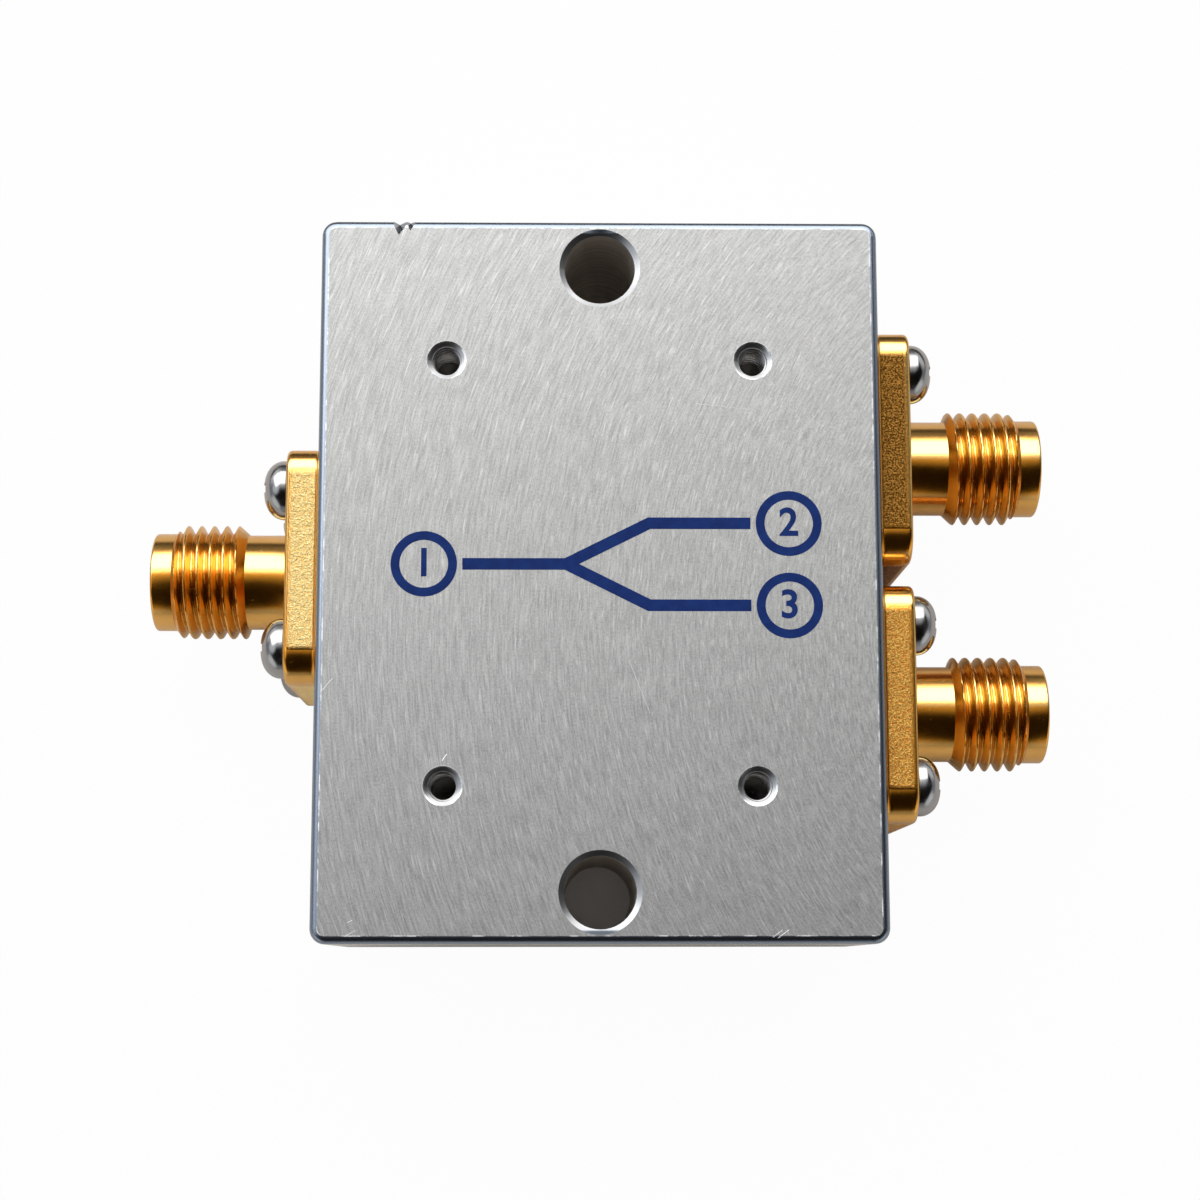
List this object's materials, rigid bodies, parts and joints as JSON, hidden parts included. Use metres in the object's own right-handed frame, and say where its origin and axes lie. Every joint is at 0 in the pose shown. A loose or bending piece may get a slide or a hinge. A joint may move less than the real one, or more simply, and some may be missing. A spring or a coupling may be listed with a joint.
{
  "type": "dual-band combiner",
  "caption": "Small machined aluminium box that joins a common coaxial socket on one side to low band and high band sockets on the other, with through holes for mounting",
  "frame": {"origin": "middle of the back face, on the plane that it lies on", "axes": "+X out of the two band sockets, +Y up the broad face towards the end nearer the low band socket, +Z out of the broad face with the tapped holes"},
  "size_m": [0.049, 0.0386, 0.014],
  "materials": {
    "housing_aluminium": "brushed in long arcs across the face, edges rounded",
    "cover_aluminium": "brushed",
    "gold_plating": "polished gold plate, cast rough on the narrow sides of the flange",
    "contact_gold": "polished gold plate",
    "screw_steel": "bright nickel plate",
    "insulator_white": "plain white, slightly waxy",
    "board_laminate": "woven laminate",
    "track_copper": "plated copper",
    "coil_copper": "enamelled copper wire",
    "chip_ceramic": "fired ceramic"
  },
  "bodies": {
    "root": {"housing": "housing_aluminium", "back_cover": "cover_aluminium", "cover_screws": "screw_steel", "circuit_board": "board_laminate", "board_tracks": "track_copper", "board_screws": "screw_steel", "common_shell": "gold_plating", "common_insulator": "insulator_white", "common_contact": "contact_gold", "common_screws": "screw_steel", "low_band_shell": "gold_plating", "low_band_insulator": "insulator_white", "low_band_contact": "contact_gold", "low_band_screws": "screw_steel", "high_band_shell": "gold_plating", "high_band_insulator": "insulator_white", "high_band_contact": "contact_gold", "high_band_screws": "screw_steel", "low_band_coil_1": "coil_copper", "high_band_coil_1": "coil_copper", "low_band_capacitor_1": "chip_ceramic", "low_band_coil_2": "coil_copper", "high_band_coil_2": "coil_copper", "low_band_capacitor_2": "chip_ceramic", "high_band_capacitor_1": "chip_ceramic", "high_band_capacitor_2": "chip_ceramic", "high_band_capacitor_3": "chip_ceramic"}
  },
  "joints": []
}
